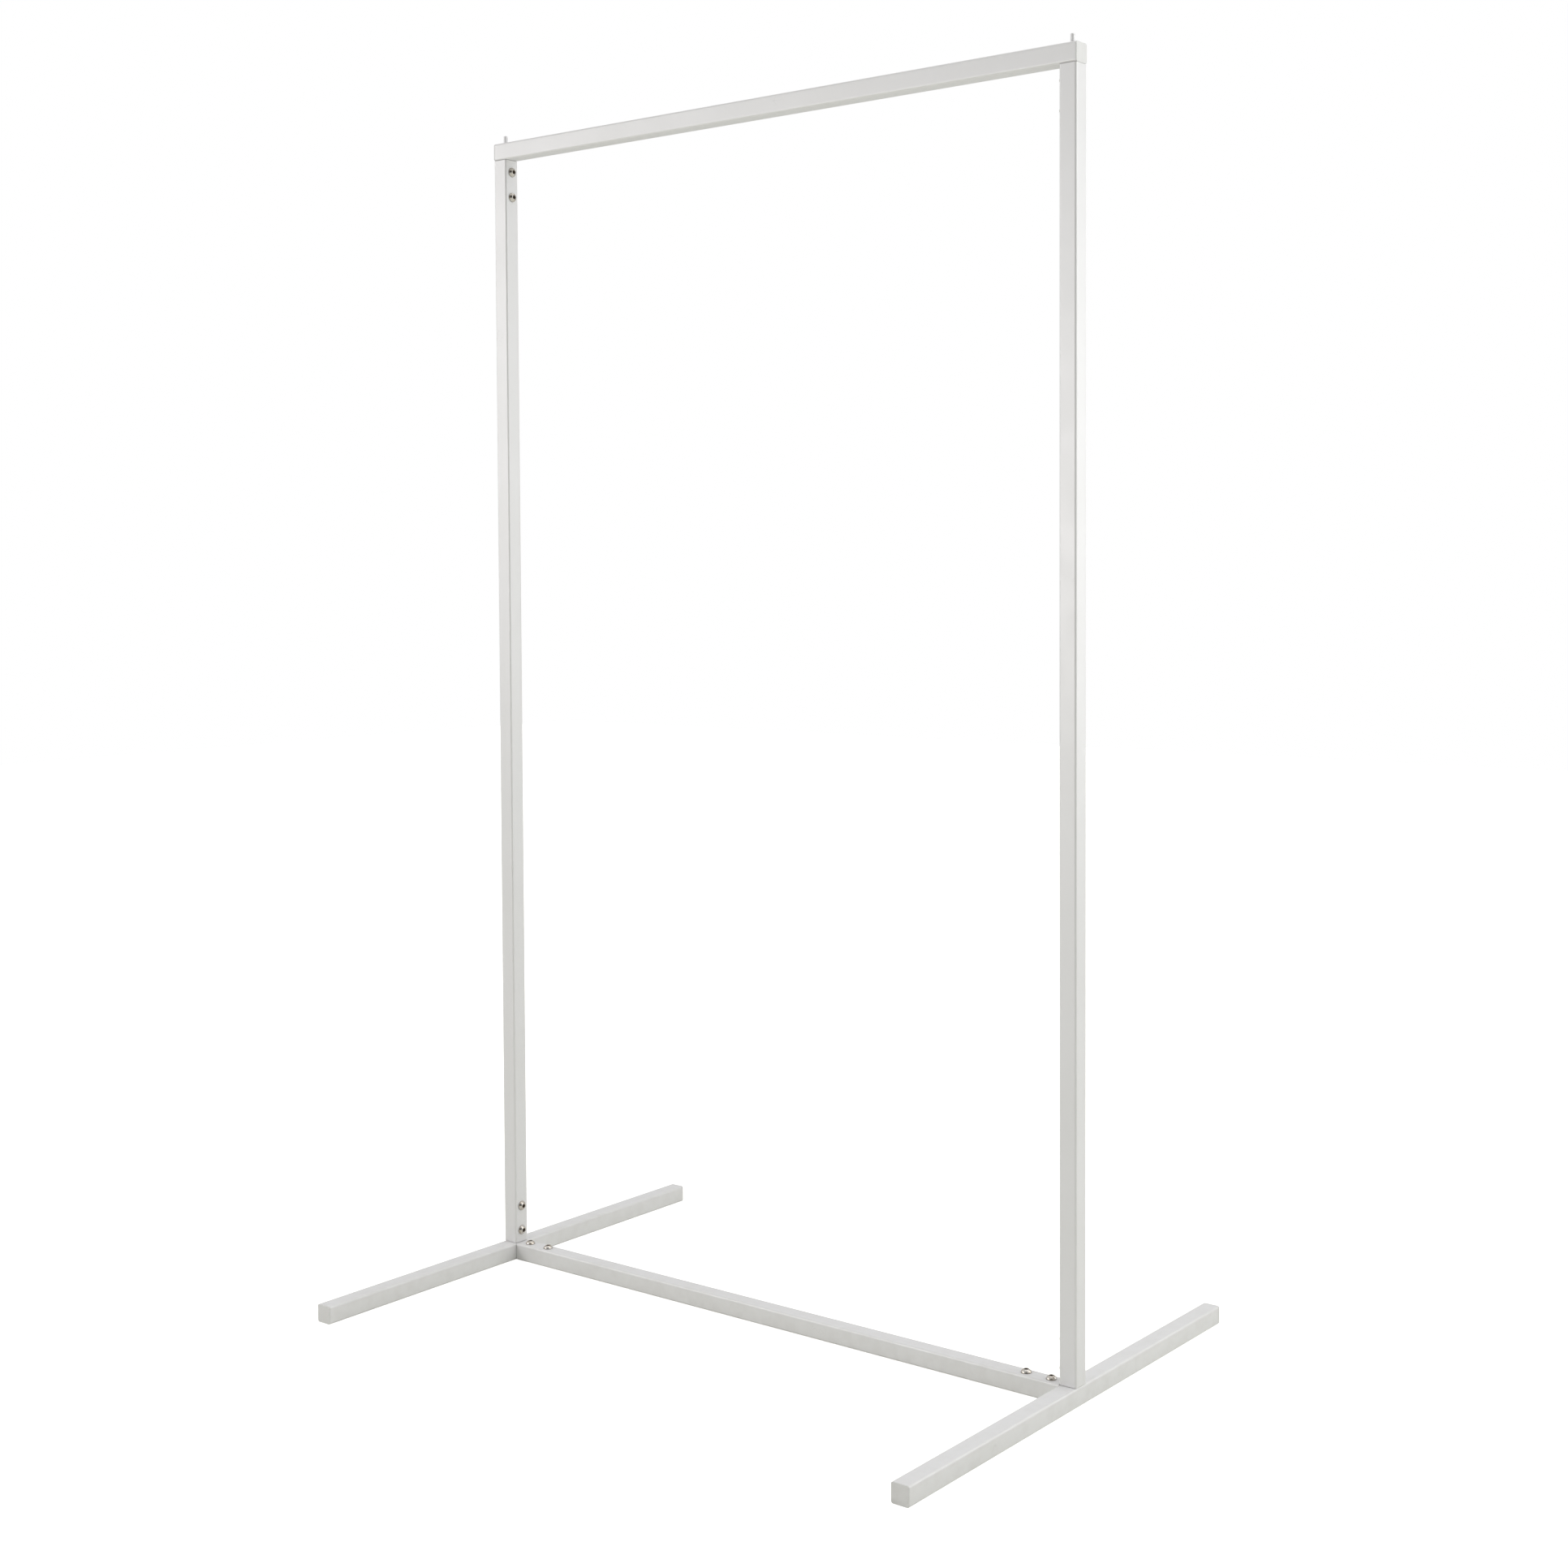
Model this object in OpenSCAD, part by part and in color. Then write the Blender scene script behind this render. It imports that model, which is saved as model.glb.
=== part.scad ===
// Frame of a free-standing partition wall. Two feet, two uprights, a crossbar at the floor
// and a top bar are lengths of one square steel tube. They plug together on short tenons
// that are welded to the feet and to the top bar, and each joint is held by two button-head
// screws in weld nuts. A pin stands on the top bar over each upright.
//
// Millimetres. The origin is on the floor, midway between the uprights and midway along the
// feet. +X is to the right, +Y to the back, +Z up.

/* [Frame] */
// Overall width, over the end caps of the top bar
frame_w = 1000; // [600:10:1400]
// Height from the floor to the upper face of the top bar
frame_h = 1680; // [900:10:2400]
// Length of each foot from front to back, over its end caps
foot_len = 750; // [400:10:1000]

/* [Tube] */
// Outside width of the square tube
tube_w = 25; // [25:1:40]
// Wall thickness of the tube
tube_wall = 2; // [1.5:0.1:2.5]
// Outside corner radius of the tube
tube_r = 3; // [2:0.1:5]
// Inside corner radius of the tube
bore_r = 1; // [0.5:0.1:1.5]

/* [Joints] */
// Gap between a tube's cut end and the face that it butts against
seam = 0.3; // [0.1:0.1:0.5]
// Clearance between a tenon and the bore around it, on each side
tenon_gap = 0.5; // [0.2:0.1:0.8]
// Wall thickness of a tenon
tenon_wall = 2; // [1.5:0.1:2.5]
// Outside corner radius of a tenon
tenon_r = 1.5; // [1:0.1:2.5]
// Chamfer that leads the free end of a tenon into its tube
tenon_lead = 1.2; // [0.4:0.1:1.4]
// Length of a tenon past its second screw
tenon_past = 20; // [10:1:40]
// Distance from a butted face to the first screw
screw_first = 18; // [12:1:30]
// Distance between the two screws of a joint
screw_pitch = 37; // [20:1:60]

/* [Screws] */
// Thread diameter of a screw
screw_d = 8; // [6:0.5:10]
// Length of a screw under its head
screw_len = 16; // [12:1:18]
// Diameter of the button head
head_d = 14; // [12:0.5:18]
// Height of the button head
head_h = 4.4; // [3.3:0.1:5.5]
// Height of the straight rim of the head
head_rim = 0.6; // [0.3:0.1:1]
// Diameter of the flat on top of the head
head_flat_d = 7.4; // [7:0.1:9]
// Width of the hexagon socket across its flats
socket_w = 5; // [4:0.5:6]
// Depth of the hexagon socket
socket_depth = 2.6; // [2:0.1:3]
// Clearance around a screw in the holes that it passes through
hole_gap = 0.25; // [0.1:0.05:0.5]

/* [Weld nuts] */
// Width of a square weld nut
nut_w = 14; // [12:0.5:14]
// Height of a weld nut
nut_h = 6.5; // [4:0.5:7]
// Chamfer on the upper edges of a weld nut
nut_edge = 0.8; // [0.4:0.1:1.2]
// Clearance between a screw and its nut, in place of the thread
thread_gap = 0.05; // [0.02:0.01:0.1]

/* [Pins] */
// Diameter of a pin above the top bar
pin_d = 6; // [6:0.5:12]
// Height of a pin above the top bar
pin_h = 12; // [6:1:30]
// Radius of the rounding at the tip of a pin
pin_round = 1; // [0.5:0.1:2]
// Diameter of the stem that seats a pin in the wall of the top bar
stem_d = 5; // [3:0.5:5.5]
// Clearance around the stem
stem_gap = 0.05; // [0.02:0.01:0.1]

/* [End caps] */
// Thickness of the flange of an end cap
cap_t = 1.5; // [1:0.1:4]
// Chamfer on the outer edges of the flange
cap_edge = 0.5; // [0.2:0.1:0.9]
// Length of the plug inside the tube
plug_len = 12; // [8:1:30]
// Clearance between the plug's ribs and the bore, on each side
plug_gap = 0.15; // [0.05:0.05:0.3]
// Wall thickness of the hollow plug
plug_wall = 1.5; // [1:0.1:2.5]
// Number of ribs around the plug
rib_count = 3; // [1:1:4]
// Thickness of a rib
rib_t = 1; // [0.6:0.1:1.5]
// Height of a rib over the plug's wall
rib_h = 1; // [0.5:0.1:1.5]

/* [Hidden] */
$fn = 48;
LEFT = -1;
RIGHT = 1;
FRONT = -1;
REAR = 1;
FIRST = 0;
SECOND = 1;
// How far a cutting shape runs past the face that it cuts
past = 1;
// Plane of the uprights' axes, as a distance from the middle
upright_x = (frame_w - tube_w) / 2;
bore_w = tube_w - 2 * tube_wall;
tenon_w = bore_w - 2 * tenon_gap;
tenon_bore = tenon_w - 2 * tenon_wall;
tenon_len = screw_first + screw_pitch + tenon_past;
// Underside of the top bar
bar_under = frame_h - tube_w;
upright_len = bar_under - tube_w - 2 * seam;
crossbar_len = frame_w - 2 * tube_w - 2 * seam;
// Distance of a joint's screws from the face that the tenon stands on
screw_at = [screw_first, screw_first + screw_pitch];
// Depth of a nut's seat under the outer face of the tube
nut_seat = tube_wall + tenon_gap + tenon_wall;
hole_d = screw_d + 2 * hole_gap;

// ---- Shapes that repeat ----

// Square with rounded corners, centred on the origin
module rounded_square(side, r) {
    square([side, side - 2 * r], center = true);
    square([side - 2 * r, side], center = true);
    for (x = [-1, 1], y = [-1, 1])
        translate([x, y] * (side / 2 - r)) circle(r);
}

// Prism along Y whose 45 degree sides meet in a ridge at height peak
module roof(peak, length) {
    foot = peak + past;
    rotate([90, 0, 0])
        linear_extrude(length, center = true)
            polygon([[0, peak], [-foot, -past], [foot, -past]]);
}

// Solid bar standing on z = 0, with rounded corners and its upper edges chamfered
module chamfered_bar(side, len, r, chamfer) {
    peak = len + side / 2 - chamfer;
    intersection() {
        linear_extrude(len) rounded_square(side, r);
        roof(peak, side + 2 * past);
        rotate([0, 0, 90]) roof(peak, side + 2 * past);
    }
}

// Length of tube standing on z = 0
module tube(len) {
    difference() {
        linear_extrude(len) rounded_square(tube_w, tube_r);
        translate([0, 0, -past]) linear_extrude(len + 2 * past) rounded_square(bore_w, bore_r);
    }
}

// Clearance holes of a joint's screws, from its axis out through the +X side
module screw_holes() {
    for (z = screw_at)
        translate([0, 0, z]) rotate([0, 90, 0]) cylinder(d = hole_d, h = tube_w);
}

// ---- Places: a piece is drawn for the left-hand side, and mirrored to the right ----

module on_side(side) {
    if (side == LEFT) children();
    else mirror([1, 0, 0]) children();
}

// A joint is drawn with its butted face at z = 0, the tenon rising from it and the screws on
// the +X side. These three put it on the foot under the upright, under the top bar, and on
// the inner face of the foot for the crossbar.
module at_base(side) {
    on_side(side) translate([-upright_x, 0, tube_w]) children();
}

module at_head(side) {
    on_side(side) translate([-upright_x, 0, bar_under]) mirror([0, 0, 1]) children();
}

module at_bar(side) {
    on_side(side) translate([-upright_x + tube_w / 2, 0, tube_w / 2]) mirror([1, 0, -1]) children();
}

// ---- Tubes ----

module foot(side) {
    tube_len = foot_len - 2 * cap_t;
    color("whitesmoke")
        on_side(side)
            translate([-upright_x, tube_len / 2, tube_w / 2]) rotate([90, 0, 0]) tube(tube_len);
}

module upright(side) {
    color("whitesmoke")
        difference() {
            on_side(side) translate([-upright_x, 0, tube_w + seam]) tube(upright_len);
            at_base(side) screw_holes();
            at_head(side) screw_holes();
        }
}

module crossbar() {
    color("whitesmoke")
        difference() {
            translate([-crossbar_len / 2, 0, tube_w / 2]) rotate([0, 90, 0]) tube(crossbar_len);
            at_bar(LEFT) screw_holes();
            at_bar(RIGHT) screw_holes();
        }
}

module top_bar() {
    tube_len = frame_w - 2 * cap_t;
    color("whitesmoke")
        difference() {
            translate([-tube_len / 2, 0, frame_h - tube_w / 2]) rotate([0, 90, 0]) tube(tube_len);
            for (side = [LEFT, RIGHT])
                translate([side * upright_x, 0, frame_h - tube_w / 2])
                    cylinder(d = stem_d + 2 * stem_gap, h = tube_w);
        }
}

// ---- End caps ----

// Cap on a tube that ends at z = 0: the flange above, and the ribbed plug below
module end_cap() {
    ribs_w = bore_w - 2 * plug_gap;
    core_w = ribs_w - 2 * rib_h;
    color("gainsboro")
        difference() {
            union() {
                chamfered_bar(tube_w, cap_t, tube_r, cap_edge);
                translate([0, 0, -plug_len])
                    linear_extrude(plug_len + cap_t / 2) square(core_w, center = true);
                for (i = [1:rib_count])
                    translate([0, 0, -i * plug_len / (rib_count + 0.5)])
                        linear_extrude(rib_t) rounded_square(ribs_w, bore_r);
            }
            translate([0, 0, -plug_len - past])
                linear_extrude(plug_len + past) square(core_w - 2 * plug_wall, center = true);
        }
}

module foot_cap(side, end) {
    on_side(side)
        translate([-upright_x, end * (foot_len / 2 - cap_t), tube_w / 2]) rotate([-90 * end, 0, 0]) end_cap();
}

module top_bar_cap(side) {
    on_side(side)
        translate([cap_t - frame_w / 2, 0, frame_h - tube_w / 2]) rotate([0, -90, 0]) end_cap();
}

// ---- Joints ----

module tenon() {
    color("lightgray")
        difference() {
            chamfered_bar(tenon_w, tenon_len, tenon_r, tenon_lead);
            translate([0, 0, -past]) linear_extrude(tenon_len + 2 * past) square(tenon_bore, center = true);
            screw_holes();
        }
}

// One screw of a joint: a domed head on the outer face of the tube, and its shank inside
module screw(which) {
    // Centre of the dome under the head's seat, so that it meets both the rim and the flat
    drop = (pow(head_d / 2, 2) - pow(head_flat_d / 2, 2) + pow(head_rim, 2) - pow(head_h, 2))
        / (2 * (head_h - head_rim));
    dome_r = norm([head_d / 2, head_rim + drop]);
    color("silver")
        translate([tube_w / 2, 0, screw_at[which]])
            rotate([0, 90, 0])
                difference() {
                    union() {
                        intersection() {
                            cylinder(d = head_d, h = head_h);
                            translate([0, 0, -drop]) sphere(dome_r);
                        }
                        translate([0, 0, -screw_len]) cylinder(d = screw_d, h = screw_len + head_rim);
                    }
                    translate([0, 0, head_h - socket_depth])
                        cylinder(d = socket_w / cos(30), h = socket_depth + past, $fn = 6);
                }
}

// One weld nut of a joint, on the inside of the tenon's wall
module weld_nut(which) {
    color("darkgray")
        translate([tube_w / 2 - nut_seat, 0, screw_at[which]])
            rotate([0, -90, 0])
                difference() {
                    chamfered_bar(nut_w, nut_h, nut_edge, nut_edge);
                    translate([0, 0, -past]) cylinder(d = screw_d + 2 * thread_gap, h = nut_h + 2 * past);
                }
}

// ---- Pins ----

// Pin on the top bar: a rounded spigot above, and a stem through the upper wall
module pin(side) {
    r = pin_d / 2;
    color("whitesmoke")
        on_side(side)
            translate([-upright_x, 0, frame_h]) {
                cylinder(r = r, h = pin_h - pin_round);
                translate([0, 0, pin_h - pin_round]) cylinder(r = r - pin_round, h = pin_round);
                translate([0, 0, pin_h - pin_round])
                    rotate_extrude()
                        translate([r - pin_round, 0])
                            intersection() {
                                circle(pin_round);
                                square(pin_round);
                            }
                translate([0, 0, -tube_wall]) cylinder(d = stem_d, h = tube_wall);
            }
}

// ---- Nodes ----

foot(LEFT);  // left_foot
foot(RIGHT);  // right_foot
upright(LEFT);  // left_upright
upright(RIGHT);  // right_upright
top_bar();
crossbar();
foot_cap(LEFT, FRONT);  // left_foot_front_cap
foot_cap(LEFT, REAR);  // left_foot_rear_cap
foot_cap(RIGHT, FRONT);  // right_foot_front_cap
foot_cap(RIGHT, REAR);  // right_foot_rear_cap
top_bar_cap(LEFT);  // top_bar_left_cap
top_bar_cap(RIGHT);  // top_bar_right_cap
at_base(LEFT) tenon();  // left_base_tenon
at_base(RIGHT) tenon();  // right_base_tenon
at_bar(LEFT) tenon();  // left_bar_tenon
at_bar(RIGHT) tenon();  // right_bar_tenon
at_head(LEFT) tenon();  // left_head_tenon
at_head(RIGHT) tenon();  // right_head_tenon
pin(LEFT);  // left_pin
pin(RIGHT);  // right_pin
at_base(LEFT) screw(FIRST);  // left_base_lower_screw
at_base(LEFT) screw(SECOND);  // left_base_upper_screw
at_base(RIGHT) screw(FIRST);  // right_base_lower_screw
at_base(RIGHT) screw(SECOND);  // right_base_upper_screw
at_head(LEFT) screw(FIRST);  // left_head_upper_screw
at_head(LEFT) screw(SECOND);  // left_head_lower_screw
at_head(RIGHT) screw(FIRST);  // right_head_upper_screw
at_head(RIGHT) screw(SECOND);  // right_head_lower_screw
at_bar(LEFT) screw(FIRST);  // left_bar_outer_screw
at_bar(LEFT) screw(SECOND);  // left_bar_inner_screw
at_bar(RIGHT) screw(FIRST);  // right_bar_outer_screw
at_bar(RIGHT) screw(SECOND);  // right_bar_inner_screw
at_base(LEFT) weld_nut(FIRST);  // left_base_lower_nut
at_base(LEFT) weld_nut(SECOND);  // left_base_upper_nut
at_base(RIGHT) weld_nut(FIRST);  // right_base_lower_nut
at_base(RIGHT) weld_nut(SECOND);  // right_base_upper_nut
at_head(LEFT) weld_nut(FIRST);  // left_head_upper_nut
at_head(LEFT) weld_nut(SECOND);  // left_head_lower_nut
at_head(RIGHT) weld_nut(FIRST);  // right_head_upper_nut
at_head(RIGHT) weld_nut(SECOND);  // right_head_lower_nut
at_bar(LEFT) weld_nut(FIRST);  // left_bar_outer_nut
at_bar(LEFT) weld_nut(SECOND);  // left_bar_inner_nut
at_bar(RIGHT) weld_nut(FIRST);  // right_bar_outer_nut
at_bar(RIGHT) weld_nut(SECOND);  // right_bar_inner_nut
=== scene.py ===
"""Looks of a free-standing partition wall frame: square steel tube, white powder coat, button-head screws.

Everything is in metres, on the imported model's own axes: +X right, +Y back, +Z up, floor at zero.
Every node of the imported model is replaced, one for one, by a finished piece.
"""

import logging
import math
from collections.abc import Callable, Sequence
from dataclasses import dataclass, field
from enum import Enum
from typing import ClassVar

import bmesh
import bpy
from mathutils import Matrix, Vector


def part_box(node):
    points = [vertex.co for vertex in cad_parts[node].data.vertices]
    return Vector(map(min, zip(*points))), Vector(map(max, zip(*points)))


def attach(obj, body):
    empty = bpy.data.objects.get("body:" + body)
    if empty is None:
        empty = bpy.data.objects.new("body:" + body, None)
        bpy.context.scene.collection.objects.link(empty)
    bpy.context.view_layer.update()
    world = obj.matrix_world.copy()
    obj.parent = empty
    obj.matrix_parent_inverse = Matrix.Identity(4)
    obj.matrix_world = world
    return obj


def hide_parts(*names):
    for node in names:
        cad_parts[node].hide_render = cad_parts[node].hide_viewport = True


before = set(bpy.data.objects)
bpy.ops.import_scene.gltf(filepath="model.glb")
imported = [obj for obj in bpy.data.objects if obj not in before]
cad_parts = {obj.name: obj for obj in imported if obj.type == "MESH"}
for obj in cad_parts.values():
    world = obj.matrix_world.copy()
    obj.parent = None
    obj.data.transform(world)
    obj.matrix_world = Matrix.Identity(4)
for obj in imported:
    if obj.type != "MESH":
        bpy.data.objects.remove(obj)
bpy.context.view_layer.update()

log = logging.getLogger("partition_wall")

MM = 0.001
# Distance under which two vertices are one
WELD = 1e-6
# How far a cutting shape runs past the face that it cuts
PAST = 1 * MM
# Edges that turn by more than this stay crisp
CRISP = math.radians(32)
# A unit vector runs along an axis if its part on that axis is over ALONG, and across it if under ACROSS
ALONG = 0.99
ACROSS = 0.01
# Sides of a round shape, and of one that is looked at closely
ROUND = 48
FINE_ROUND = 64

Point = tuple[float, float, float]
Colour = tuple[float, float, float]
Profile = Sequence[tuple[float, float]]


class Side(Enum):
    """Left or right half of the frame, with the sign of its X."""

    LEFT = -1
    RIGHT = 1

    @property
    def word(self) -> str:
        """Name used at the start of a node's name."""
        return self.name.lower()


class Way(Enum):
    """The six directions along the frame's axes."""

    RIGHT = (1, 0, 0)
    LEFT = (-1, 0, 0)
    BACK = (0, 1, 0)
    FRONT = (0, -1, 0)
    UP = (0, 0, 1)
    DOWN = (0, 0, -1)

    @property
    def vector(self) -> Vector:
        """Unit vector of this direction."""
        return Vector(self.value)

    @property
    def axis(self) -> int:
        """Index of the axis that this direction runs along."""
        return [abs(part) for part in self.value].index(1)

    @property
    def opposite(self) -> "Way":
        """The direction that points the other way."""
        return Way(tuple(-part for part in self.value))

    def turn(self) -> Matrix:
        """Rotation that stands a piece drawn along +Z in this direction."""
        return Vector((0, 0, 1)).rotation_difference(self.vector).to_matrix().to_4x4()


class Part(Enum):
    """Kind of mesh element that a selection holds."""

    VERTEX = "VERT"
    EDGE = "EDGE"
    FACE = "FACE"


class Cut(Enum):
    """How one solid is combined with another."""

    AWAY = "DIFFERENCE"
    JOIN = "UNION"
    SHARED = "INTERSECT"


# ---- The bench: modelling by operators ----


class Workpiece:
    """A mesh on the bench, which starts as a primitive and is shaped by operators."""

    def __init__(self, obj: bpy.types.Object, name: str) -> None:
        """Takes over an object and names it."""
        self.obj = obj
        obj.name = name
        obj.data.name = name

    @staticmethod
    def clear_bench() -> None:
        """Leaves edit mode and deselects everything."""
        if bpy.context.mode != "OBJECT":
            bpy.ops.object.mode_set(mode="OBJECT")
        bpy.ops.object.select_all(action="DESELECT")

    @classmethod
    def block(cls, name: str, low: Sequence[float], high: Sequence[float]) -> "Workpiece":
        """Makes a rectangular block.

        Args:
            name: Name of the new piece.
            low: Its lowest corner.
            high: Its highest corner.

        Returns:
            The block, with its place in its mesh.
        """
        low, high = Vector(low), Vector(high)
        cls.clear_bench()
        bpy.ops.mesh.primitive_cube_add(size=1, location=(low + high) / 2, scale=high - low)
        bpy.ops.object.transform_apply()
        return cls(bpy.context.object, name)

    @classmethod
    def prism(cls, name: str, sides: int, radius: float, low: float, high: float) -> "Workpiece":
        """Makes an upright prism about the Z axis.

        Args:
            name: Name of the new piece.
            sides: Number of sides.
            radius: Distance of its corners from the axis.
            low: Height of its base.
            high: Height of its top.

        Returns:
            The prism, with its place in its mesh.
        """
        cls.clear_bench()
        bpy.ops.mesh.primitive_cylinder_add(
            vertices=sides, radius=radius, depth=high - low, location=(0, 0, (low + high) / 2))
        bpy.ops.object.transform_apply()
        return cls(bpy.context.object, name)

    @classmethod
    def wire(cls, name: str, profile: Profile) -> "Workpiece":
        """Draws an open profile in the XZ plane.

        Args:
            name: Name of the new piece.
            profile: Points of the profile, as radius and height.

        Returns:
            The profile, all selected in edit mode.
        """
        cls.clear_bench()
        bpy.ops.mesh.primitive_plane_add(size=MM, location=(profile[0][0], 0, profile[0][1]))
        bpy.ops.object.transform_apply()
        piece = cls(bpy.context.object, name)
        piece.edit()
        bpy.ops.mesh.select_mode(type=Part.VERTEX.value)
        bpy.ops.mesh.select_all(action="SELECT")
        bpy.ops.mesh.merge(type="CENTER")
        for before, after in zip(profile, profile[1:]):
            step = (after[0] - before[0], 0, after[1] - before[1])
            bpy.ops.mesh.extrude_vertices_move(TRANSFORM_OT_translate={"value": step})
        bpy.ops.mesh.select_all(action="SELECT")
        return piece

    @classmethod
    def lathe(cls, name: str, profile: Profile, steps: int = ROUND) -> "Workpiece":
        """Spins a profile about the Z axis into a closed solid.

        Args:
            name: Name of the new piece.
            profile: Points of the profile, as radius and height, from the axis to the axis.
            steps: Number of sides of each ring.

        Returns:
            The turned piece.
        """
        piece = cls.wire(name, profile)
        bpy.ops.mesh.spin(steps=steps, angle=2 * math.pi, center=(0, 0, 0), axis=(0, 0, 1))
        return piece.close_up()

    @classmethod
    def thread(cls, name: str, major: float, minor: float, pitch: float,
               low: float, high: float) -> "Workpiece":
        """Cuts a screw thread about the Z axis.

        Args:
            name: Name of the new piece.
            major: Radius of the crests.
            minor: Radius of the roots.
            pitch: Rise of one turn.
            low: Height of the flat lower end.
            high: Height of the flat upper end.

        Returns:
            A closed threaded rod. Two rods with the same pitch are in phase with each other.
        """
        turns = math.ceil((high - low) / pitch) + 3
        start = math.floor(low / pitch) - 1
        # Shares of a turn: a root a quarter wide, a crest an eighth wide, and equal flanks
        tooth = [(minor, 0), (minor, 0.25), (major, 0.5625), (major, 0.6875), (minor, 1)]
        piece = cls.wire(name, [(radius, (start + share) * pitch) for radius, share in tooth])
        cls.clear_bench()
        piece.apply("SCREW", axis="Z", angle=2 * math.pi, screw_offset=pitch, iterations=turns,
                    steps=32, render_steps=32, use_smooth_shade=False)
        piece.edit()
        for height, facing in ((low, -1), (high, 1)):
            bpy.ops.mesh.select_all(action="SELECT")
            bpy.ops.mesh.remove_doubles(threshold=WELD)
            bpy.ops.mesh.select_all(action="SELECT")
            bpy.ops.mesh.bisect(plane_co=(0, 0, height), plane_no=(0, 0, facing),
                                use_fill=True, clear_outer=True, threshold=WELD / 10)
        return piece.close_up()

    def focus(self) -> None:
        """Makes this the only selected object."""
        self.clear_bench()
        self.obj.select_set(True)
        bpy.context.view_layer.objects.active = self.obj

    def edit(self) -> None:
        """Goes into edit mode on this piece."""
        if bpy.context.mode != "EDIT_MESH" or bpy.context.object is not self.obj:
            self.focus()
            bpy.ops.object.mode_set(mode="EDIT")

    def close_up(self) -> "Workpiece":
        """Merges doubled vertices and turns all faces outwards."""
        self.edit()
        bpy.ops.mesh.select_mode(type=Part.VERTEX.value)
        bpy.ops.mesh.select_all(action="SELECT")
        bpy.ops.mesh.remove_doubles(threshold=WELD)
        bpy.ops.mesh.select_all(action="SELECT")
        bpy.ops.mesh.normals_make_consistent(inside=False)
        self.clear_bench()
        return self

    def pick(self, kind: Part, test: Callable[[Vector, Vector], bool]) -> "Workpiece":
        """Selects the faces or edges that pass a test, in edit mode.

        Args:
            kind: Kind of element.
            test: Takes a face's middle and normal, or an edge's middle and direction.

        Returns:
            This piece.
        """
        self.edit()
        bpy.ops.mesh.select_mode(type=kind.value)
        bpy.ops.mesh.select_all(action="DESELECT")
        mesh = bmesh.from_edit_mesh(self.obj.data)
        if kind is Part.FACE:
            tried = [(face, face.calc_center_median(), face.normal) for face in mesh.faces]
        else:
            ends = [(edge, *(vertex.co for vertex in edge.verts)) for edge in mesh.edges]
            tried = [(edge, (start + end) / 2, (end - start).normalized()) for edge, start, end in ends]
        chosen = [item for item, middle, way in tried if test(middle, way)]
        for item in chosen:
            item.select_set(True)
        mesh.select_flush_mode()
        bmesh.update_edit_mesh(self.obj.data)
        return self

    def bevel(self, width: float, steps: int) -> "Workpiece":
        """Rounds the selected edges, or chamfers them with a single step."""
        bpy.ops.mesh.bevel(offset=width, offset_type="OFFSET", segments=steps, profile=0.5)
        return self

    def taper(self, step: Sequence[float], scale: float) -> "Workpiece":
        """Extrudes the selected faces by a step and scales their new ends.

        Args:
            step: How far the new ends move.
            scale: Size of the new ends against the old ones.

        Returns:
            This piece.
        """
        bpy.ops.mesh.extrude_region_move(TRANSFORM_OT_translate={"value": step})
        bpy.ops.transform.resize(value=(scale, scale, 1), center_override=(0, 0, 0))
        return self

    def apply(self, kind: str, **settings: object) -> "Workpiece":
        """Adds a modifier with these settings and applies it."""
        self.focus()
        modifier = self.obj.modifiers.new(kind.title(), kind)
        for key, value in settings.items():
            setattr(modifier, key, value)
        bpy.ops.object.modifier_apply(modifier=modifier.name)
        return self

    def combine(self, how: Cut, other: "Workpiece") -> "Workpiece":
        """Combines this piece with another solid, which is used up.

        Args:
            how: Whether the other is cut away, joined on, or only what both share is left.
            other: The other solid.

        Returns:
            This piece.
        """
        self.apply("BOOLEAN", operation=how.value, object=other.obj, solver="EXACT")
        other.scrap()
        return self

    def scrap(self) -> None:
        """Takes this piece off the bench."""
        mesh = self.obj.data
        bpy.data.objects.remove(self.obj)
        bpy.data.meshes.remove(mesh)

    def place(self, matrix: Matrix) -> "Workpiece":
        """Moves the mesh itself by a matrix, which leaves the object at the origin."""
        self.focus()
        self.obj.matrix_world = matrix
        bpy.ops.object.transform_apply()
        return self

    def copy_to(self, name: str, matrix: Matrix) -> "Workpiece":
        """Copies this piece, with a mesh of its own, to another place.

        Args:
            name: Name of the copy.
            matrix: Where the copy goes, from this piece's own place.

        Returns:
            The copy.
        """
        self.focus()
        bpy.ops.object.duplicate()
        return Workpiece(bpy.context.object, name).place(matrix)

    def mark(self, name: str, value: Callable[[Vector], float]) -> "Workpiece":
        """Stores a number on each vertex for the finish to read.

        Args:
            name: Name of the attribute.
            value: The number for a vertex at that place.

        Returns:
            This piece.
        """
        self.clear_bench()
        layer = self.obj.data.attributes.new(name, "FLOAT", "POINT")
        layer.data.foreach_set("value", [value(v.co) for v in self.obj.data.vertices])
        return self

    def mark_section(self, middle: Vector, way: Way, width: float) -> "Workpiece":
        """Lays a UV map over the piece that says where a point is in its square section.

        Args:
            middle: A point on the piece's axis.
            way: Direction that the piece runs in.
            width: Its width, which puts its faces at 1 and -1.

        Returns:
            This piece.
        """
        self.clear_bench()
        mesh, half = self.obj.data, width / 2
        across = [axis for axis in range(3) if axis != way.axis]
        layer = mesh.uv_layers.new(name=CornerBand.uv_map)
        places = []
        for loop in mesh.loops:
            off = mesh.vertices[loop.vertex_index].co - middle
            places += [off[axis] / half for axis in across]
        layer.data.foreach_set("uv", places)
        return self

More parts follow.
